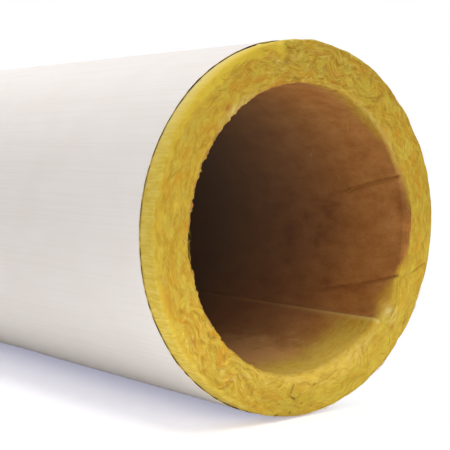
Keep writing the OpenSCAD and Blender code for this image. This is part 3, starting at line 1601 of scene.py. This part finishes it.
    def build(self) -> None:
        """Makes one mesh of all the strands, each of its own thickness and tint."""
        rng = np.random.default_rng(self.seed)
        paths = np.concatenate([self.face_paths(rng), self.mouth_paths(rng), self.bore_paths()])
        count = len(paths)
        scuffed = slice(self.face_count + self.mouth_count, None)
        girth = rng.uniform(0.6, 1.3, count)
        girth[scuffed] = self.scuff_girth
        tint = np.maximum(rng.normal(0.5, 0.15, count), 0.3)
        tint[self.face_count:] += 0.02
        tint[scuffed] = 0.45
        mesh = bpy.data.meshes.new(self.name)
        mesh.from_pydata(*self.rods(paths, girth))
        write_value(mesh, "tint", np.repeat(np.clip(tint, 0.1, 1), self.steps * self.sides))
        self.piece = bpy.data.objects.new(self.name, mesh)
        bpy.context.collection.objects.link(self.piece)
        start_clean()
        self.piece.select_set(True)
        bpy.context.view_layer.objects.active = self.piece
        bpy.ops.object.shade_smooth()
        bpy.ops.object.mode_set(mode="EDIT")
        bpy.ops.mesh.select_all(action="SELECT")
        bpy.ops.mesh.normals_make_consistent(inside=False)
        bpy.ops.object.mode_set(mode="OBJECT")
        LOG.info("%s: %d strands", self.name, count)

    def dress(self, finish: StrandFinish) -> None:
        """Gives the strands their finish and their place in the frame.

        Args:
            finish: the strands' finish.
        """
        self.piece.data.materials.append(finish.material())
        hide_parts("insulation")
        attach(self.piece, "root")


# Where the sheet's cut edge stands off the wool, in mm, and where the edge is lighter or darker: dirt,
# and painted shade of the gap where it lifts
EDGE_LIFTS = ((0.35, 104, 6), (0.2, 128, 8), (0.3, -142, 4))
EDGE_CLEAN_AND_LIT = ((-0.3, 108, 9), (0.28, 238, 24), (-0.5, 207, 4))


@dataclass
class JacketWrap:
    """The white sheet: it starts at the slit, goes once round and laps over its own start.

    Attributes:
        section: sizes of the section.
        segments: faces round the sheet.
        lap: width of the second layer.
        rise: length over which the sheet climbs onto its own start.
        gap: air between the wool and the sheet.
        far_end: distance from the cut edge past which the sheet is flat.
    """

    section: Section
    segments: int = 400
    lap: float = 38 * MM
    rise: float = 4 * MM
    gap: float = 0.02 * MM
    far_end: float = 880 * MM
    piece: bpy.types.Object = field(init=False)

    def rows(self) -> Array:
        """Distances from the cut edge at which the sheet has vertices: closer together near it.

        Returns:
            Distances in metres, from 0 to the sheet's length.
        """
        length = self.section.jacket_x - self.section.back_x
        fine = [0, 0.5, 1, 2, 3.5, 6, 9, 13, 18, 24, 32, 42]
        middle = [42 + 18 * i for i in range(1, 12)]
        last = 240 * MM
        coarse = [last + (length - last) * i / 14 for i in range(15)]
        return np.array([back * MM for back in fine + middle] + coarse)

    def build(self) -> None:
        """Turns a line along the section into the sheet, lays its lap and gives it its thickness."""
        sec = self.section
        turn = TURN + self.lap / sec.outer_r
        rows = self.rows()
        radius = np.full_like(rows, sec.outer_r + self.gap)
        start = sec.place(sec.jacket_x - rows, radius, np.full_like(rows, sec.slit_angle))
        self.piece = draw_wire("jacket_wrap", [Vector(p) for p in start])
        mesh = self.piece.data
        write_value(mesh, "back", rows)
        bpy.ops.object.mode_set(mode="EDIT")
        bpy.ops.mesh.select_all(action="SELECT")
        bpy.ops.mesh.spin(steps=self.segments, angle=-turn, use_auto_merge=False,
                          center=(0, 0, sec.axis_z), axis=(1, 0, 0))
        bpy.ops.mesh.select_all(action="SELECT")
        bpy.ops.mesh.normals_make_consistent(inside=False)
        bpy.ops.object.mode_set(mode="OBJECT")
        self.lay_sheet(turn, len(rows))
        thick = self.piece.modifiers.new("sheet", "SOLIDIFY")
        thick.thickness = sec.sheet_t
        thick.offset = 1.0
        bpy.ops.object.modifier_apply(modifier=thick.name)
        bpy.ops.object.shade_smooth_by_angle(angle=math.radians(40))
        LOG.info("jacket wrap: %d faces", len(mesh.polygons))

    def lay_sheet(self, turn: float, row_count: int) -> None:
        """Lifts the lap onto the first layer, and gives the sheet its waves and its uneven cut edge.

        Args:
            turn: angle that the sheet covers, in radians.
            row_count: vertices in each line along the section.
        """
        sec = self.section
        mesh = self.piece.data
        points = read_points(mesh)
        back = read_value(mesh, "back")
        angle = np.arctan2(points[:, 2] - sec.axis_z, points[:, 1])
        round_mm = angle * sec.outer_r / MM
        turned = np.arange(len(points)) // row_count * turn / self.segments
        rise_turn = self.rise / sec.outer_r
        climb = ease((turned - (TURN - rise_turn)) / rise_turn) * (sec.sheet_t + 0.03 * MM)
        waves = ripples(back / MM, round_mm, ((0.16, 90, 26, 61.4), (0.05, 160, 3.1, 62.7)))
        # The sheet is pressed flat where the section rests on the floor
        pressed = hump(angle, -90, 14)
        waves = waves * (1 - pressed) - 0.1 * pressed
        lift = np.exp(-back / (7 * MM)) * (0.03 + humps(angle, EDGE_LIFTS))
        ragged = ripples(round_mm, round_mm, ((0.22, 5, 17, 63.9), (0.5, 40, 90, 64.2)))
        x = sec.jacket_x - back + ragged * MM * np.exp(-back / (6 * MM))
        radius = sec.outer_r + self.gap + climb + (0.1 + waves + lift) * MM * (back < self.far_end)
        write_points(mesh, sec.place(x, radius, angle))
        write_value(mesh, "unrolled", np.column_stack([x, angle * sec.outer_r, radius]))
        # How clean and lit the edge is: low values paint it dark, for dirt and for the shade of the gap
        # under it
        clean_and_lit = 0.55 + 1.7 * perlin(round_mm / 4.5, round_mm / 23, 65.8) + humps(angle, EDGE_CLEAN_AND_LIT)
        write_value(mesh, "clean_and_lit", np.clip(clean_and_lit, 0, 1))

    def dress(self, paper: PaperFinish, edge: CutEdgeAndShadeFinish) -> None:
        """Gives the sheet its paper and its dark cut edge, and its place in the frame.

        Args:
            paper: finish of the sheet.
            edge: finish of its cut edge, of strips of painted shade by it, and of its inside near the
                edge, painted dark as the gap's shade.
        """
        mesh = self.piece.data
        mesh.materials.append(paper.material())
        mesh.materials.append(edge.material())
        back = read_value(mesh, "back")
        clean_and_lit = read_value(mesh, "clean_and_lit")
        for face in mesh.polygons:
            corners = list(face.vertices)
            farthest = back[corners].max()
            out = Vector((0, face.center.y, face.center.z - self.section.axis_z)).normalized()
            # Its inside near the edge and a few strips of its outside take the dark finish as painted
            # shade of the gap
            inside = farthest < 12 * MM and face.normal.dot(out) < -0.5
            shade_strip = farthest < 0.6 * MM and clean_and_lit[corners].mean() < 0.12
            cut = farthest < 0.1 * MM and face.normal.x > 0.7
            face.material_index = int(inside or shade_strip or cut)
        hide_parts("jacket")
        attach(self.piece, "root")


@dataclass(frozen=True)
class PaperFinish:
    """White laminated kraft paper over a glass scrim: matte, with fine threads that press through.

    Attributes:
        white: the clean paper.
        thread: the paper over a thread.
        soiled: the paper where it is handled.
        soaked: the paper by the cut edge, where resin has gone in.
        thread_mm: width of a thread, drawn coarser than a real one, which would not show.
        thread_l_mm: length over which a thread changes.
        cloud_mm: size of the soiled patches.
    """

    white: str = "#F3EDE9"
    thread: str = "#F0E9E4"
    soiled: str = "#EDE3DD"
    soaked: str = "#E8D6A8"
    thread_mm: float = 1.6
    thread_l_mm: float = 130
    cloud_mm: float = 35

    def material(self) -> bpy.types.Material:
        """Builds the finish.

        Returns:
            The material, which reads the unrolled and back values.
        """
        # Bleached kraft paper: an even, warm white with hardly any shine, so its curve shows by shade
        material = new_material("white_laminated_paper", roughness=0.62, gloss=0.15)
        tree = material.node_tree
        shader = tree.nodes["Principled BSDF"]
        flat = add_node(tree, "ShaderNodeAttribute", attribute_name="unrolled").outputs["Vector"]
        back = add_node(tree, "ShaderNodeAttribute", attribute_name="back").outputs["Fac"]
        spread = add_node(tree, "ShaderNodeMapping", {
            "Vector": flat, "Scale": (1 / (self.thread_l_mm * MM), 1 / (self.thread_mm * MM), 0.0)})
        threads = add_node(tree, "ShaderNodeTexNoise", {
            "Vector": spread.outputs[0], "Scale": 1.0, "Detail": 2.0})
        cloudy = add_node(tree, "ShaderNodeTexNoise", {
            "Vector": flat, "Scale": 1 / (self.cloud_mm * MM), "Detail": 3.0})
        colour = add_node(tree, "ShaderNodeValToRGB", {0: threads.outputs["Fac"]}, ramp=[
            (0.35, self.thread), (0.55, self.white)]).outputs[0]
        soiled = add_node(tree, "ShaderNodeMapRange", {
            0: cloudy.outputs["Fac"], 1: 0.45, 2: 0.8, 3: 0.0, 4: 0.5})
        soaked = add_node(tree, "ShaderNodeMapRange", {
            0: back, 1: 0.4 * MM, 2: 1.6 * MM, 3: 0.55, 4: 0.0})
        for share, tint in ((soiled, self.soiled), (soaked, self.soaked)):
            mixed = add_node(tree, "ShaderNodeMix", {
                0: share.outputs[0], 6: colour, 7: linear(tint)}, data_type="RGBA")
            colour = mixed.outputs[2]
        bump = add_node(tree, "ShaderNodeBump", {
            "Height": threads.outputs["Fac"], "Strength": 0.15, "Distance": 0.2 * MM})
        tree.links.new(colour, shader.inputs["Base Color"])
        tree.links.new(bump.outputs[0], shader.inputs["Normal"])
        return material


@dataclass(frozen=True)
class CutEdgeAndShadeFinish:
    """The laminate's cut edge, foil and adhesive, with painted shade of the gap under the sheet: a dark,
    broken line.
    """

    black: str = "#1E1606"
    dark: str = "#6A521C"
    tan: str = "#A88A3E"
    straw: str = "#E2CD88"

    def material(self) -> bpy.types.Material:
        """Builds the finish.

        Returns:
            The material, which reads how clean and lit the edge is.
        """
        # Dried adhesive full of dust, and painted shade of the gap: it takes up the light, so the edge
        # reads as a line
        material = new_material("laminate_cut_edge_and_gap_shade", roughness=1.0, gloss=0.0)
        tree = material.node_tree
        clean_and_lit = add_node(tree, "ShaderNodeAttribute", attribute_name="clean_and_lit").outputs["Fac"]
        colour = add_node(tree, "ShaderNodeValToRGB", {0: clean_and_lit}, ramp=[
            (0.06, self.black), (0.3, self.dark), (0.6, self.tan), (1.0, self.straw)])
        tree.links.new(colour.outputs[0], tree.nodes["Principled BSDF"].inputs["Base Color"])
        return material


@dataclass(frozen=True)
class FloorFinish:
    """White studio floor: it keeps the section's shadow on the -Y side, is painted white over it on the
    +Y side, and goes over into the white room.

    Attributes:
        paint: what the floor sends back as light on the section.
        bounce: the further light it sends back where nothing stands over it.
        seen: what the camera sees of the floor in the light.
        glow: the cool light that the camera sees in its shadow.
        glow_level: strength of that.
    """

    paint: tuple[float, float, float, float] = (0.82, 0.82, 0.82, 1)
    bounce: float = 0.14
    seen: tuple[float, float, float, float] = (1.08, 1.08, 0.98, 1)
    glow: tuple[float, float, float, float] = (0.72, 0.73, 1.0, 1)
    glow_level: float = 0.405

    def material(self) -> bpy.types.Material:
        """Builds the finish.

        Returns:
            The material.
        """
        # Matte white paint: a soft grey shadow under the section, pure white further off, and painted
        # light on the +Y side
        material = bpy.data.materials.new("white_floor")
        material.use_nodes = True
        tree = material.node_tree
        tree.nodes.remove(tree.nodes["Principled BSDF"])
        path = add_node(tree, "ShaderNodeLightPath")
        place = add_node(tree, "ShaderNodeTexCoord").outputs["Object"]
        away = add_node(tree, "ShaderNodeVectorMath", {0: place}, operation="LENGTH").outputs["Value"]
        apart = add_node(tree, "ShaderNodeSeparateXYZ", {0: place})
        beside = apart.outputs["Y"]
        aside = add_node(tree, "ShaderNodeMath", {0: beside}, operation="ABSOLUTE").outputs[0]
        # Where the floor goes over into the room and where light is painted over the shadow on the +Y
        # side, then where nothing stands over it: distances in metres
        fades = {
            "far": ((away, 0.6, 1.0), (beside, -0.01, 0.06), 1.0),
            "clear": ((aside, 0.02, 0.16), (apart.outputs["X"], 0.41, 0.5), self.bounce)}
        level = {}
        for name, (first, second, most) in fades.items():
            ends = []
            for distance, start, end in (first, second):
                ends.append(add_node(tree, "ShaderNodeMapRange", {
                    0: distance, 1: start, 2: end, 3: 0.0, 4: most}, interpolation_type="SMOOTHSTEP"))
            both = {0: ends[0].outputs[0], 1: ends[1].outputs[0]}
            level[name] = add_node(tree, "ShaderNodeMath", both, operation="MAXIMUM").outputs[0]
        white = (1, 1, 1, 1)
        paint = add_node(tree, "ShaderNodeBsdfDiffuse", {"Color": self.paint})
        bounce = add_node(tree, "ShaderNodeEmission", {"Color": white, "Strength": level["clear"]})
        unseen = add_node(tree, "ShaderNodeAddShader", {0: paint.outputs[0], 1: bounce.outputs[0]})
        lit = add_node(tree, "ShaderNodeBsdfDiffuse", {"Color": self.seen})
        glow = add_node(tree, "ShaderNodeEmission", {"Color": self.glow, "Strength": self.glow_level})
        near = add_node(tree, "ShaderNodeAddShader", {0: lit.outputs[0], 1: glow.outputs[0]})
        room = add_node(tree, "ShaderNodeEmission", {"Color": white, "Strength": 1.0})
        seen = add_node(tree, "ShaderNodeMixShader", {
            0: level["far"], 1: near.outputs[0], 2: room.outputs[0]})
        final = add_node(tree, "ShaderNodeMixShader", {
            0: path.outputs["Is Camera Ray"], 1: unseen.outputs[0], 2: seen.outputs[0]})
        tree.links.new(final.outputs[0], tree.nodes["Material Output"].inputs["Surface"])
        return material


@dataclass(frozen=True)
class SoftLamp:
    """A soft lamp that the camera does not see.

    Attributes:
        name: lamp's name.
        place: where it is, in metres.
        target: point it faces.
        size: its two sides, in metres.
        watts: its power.
    """

    name: str
    place: Vector
    target: Vector
    size: tuple[float, float]
    watts: float

    def build(self) -> None:
        """Hangs the lamp."""
        start_clean()
        bpy.ops.object.light_add(type="AREA", location=self.place)
        lamp = bpy.context.object
        lamp.name = self.name
        lamp.rotation_euler = (self.target - self.place).to_track_quat("-Z", "Y").to_euler()
        lamp.data.shape = "RECTANGLE"
        lamp.data.size, lamp.data.size_y = self.size
        lamp.data.energy = self.watts
        lamp.visible_camera = False


@dataclass
class Studio:
    """White floor, soft light from above, and the camera."""

    section: Section
    focal_mm: float = 90.52
    sensor_mm: float = 36.0
    camera_ahead: float = 479.0 * MM
    camera_side: float = -450.1 * MM
    camera_above_axis: float = 48.4 * MM
    camera_yaw: float = math.radians(140.97)
    camera_pitch: float = math.radians(-3.97)
    floor_size: float = 30.0
    # Light of the white room on the pieces, where the camera sees it as 1
    room_light: float = 0.35

    def build(self) -> None:
        """Adds the camera, the lamps, the room and the floor."""
        self.add_camera()
        for lamp in self.lamps():
            lamp.build()
        self.add_room()
        self.add_floor()

    def add_camera(self) -> None:
        """Puts a level camera in front of the bare end."""
        sec = self.section
        data = bpy.data.cameras.new("camera")
        data.lens = self.focal_mm
        data.sensor_width = self.sensor_mm
        data.clip_end = 100.0
        camera = bpy.data.objects.new("camera", data)
        camera.location = (sec.front_x + self.camera_ahead, self.camera_side,
                           sec.axis_z + self.camera_above_axis)
        level = math.cos(self.camera_pitch)
        look = Vector((level * math.cos(self.camera_yaw), level * math.sin(self.camera_yaw),
                       math.sin(self.camera_pitch)))
        camera.rotation_euler = look.to_track_quat("-Z", "Y").to_euler()
        bpy.context.collection.objects.link(camera)
        bpy.context.scene.camera = camera

    def lamps(self) -> tuple[SoftLamp, ...]:
        """Lamps of the studio: a softbox overhead, and white cards on the floor and behind.

        Returns:
            The lamps.
        """
        sec = self.section
        front, back = sec.front_x, sec.back_x
        middle = front - 0.3
        return (
            SoftLamp("overhead_softbox", Vector((middle, -0.03, 1.5)), Vector((middle, -0.03, 0)),
                     size=(2.8, 1.2), watts=21.8),
            SoftLamp("front_card", Vector((front + 0.15, -0.04, 0.01)), Vector((front, 0, 0.05)),
                     size=(0.5, 0.2), watts=0.36),
            SoftLamp("side_card", Vector((middle, -0.62, 0.01)), Vector((middle, 0, sec.axis_z)),
                     size=(1.4, 0.5), watts=0.68),
            SoftLamp("back_card", Vector((back - 0.4, 0, 0.8)), Vector((back, 0, 0.15)),
                     size=(0.4, 0.8), watts=1.5))

    def add_room(self) -> None:
        """Lights the room evenly, and shows it as plain white."""
        world = bpy.data.worlds.new("studio_white")
        bpy.context.scene.world = world
        world.use_nodes = True
        tree = world.node_tree
        path = add_node(tree, "ShaderNodeLightPath")
        level = add_node(tree, "ShaderNodeMix", {
            0: path.outputs["Is Camera Ray"], 2: self.room_light, 3: 1.0}, data_type="FLOAT")
        back = tree.nodes["Background"]
        back.inputs["Color"].default_value = (1, 1, 1, 1)
        tree.links.new(level.outputs[0], back.inputs["Strength"])
        bpy.context.scene.view_settings.view_transform = "Standard"

    def add_floor(self) -> None:
        """Lays the white floor."""
        start_clean()
        bpy.ops.mesh.primitive_plane_add(size=self.floor_size, location=(0, 0, 0))
        floor = bpy.context.object
        floor.name = "floor"
        floor.data.materials.append(FloorFinish().material())


def main() -> None:
    """Builds the studio and the pieces in order."""
    logging.basicConfig(level=logging.INFO)
    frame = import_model()
    section = Section.from_frame(frame["record"])
    LOG.info("section: %s", section)
    studio = Studio(section)
    studio.build()
    bare_end = CutEnd(section, 3.7, BARE_WHORLS, BARE_CREASES)
    back_end = CutEnd(section, 13.9, BACK_WHORLS)
    tube = WoolTube(section, {End.BARE: bare_end, End.BACK: back_end}, BORE_FOLDS)
    tube.build()
    tube.dress(WoolFinish())
    front = LooseFibres(section, "end_fibres", bare_end, End.BARE, seed=71, face_count=2400,
                        mouth_count=420, tube=tube, scuffs=BORE_SCUFFS)
    back = LooseFibres(section, "back_end_fibres", back_end, End.BACK, seed=72, face_count=1600,
                       mouth_count=300, tube=tube)
    for fibres in (front, back):
        fibres.build()
        fibres.dress(StrandFinish())
    jacket = JacketWrap(section)
    jacket.build()
    jacket.dress(PaperFinish(), CutEdgeAndShadeFinish())


if __name__ == "__main__":
    main()
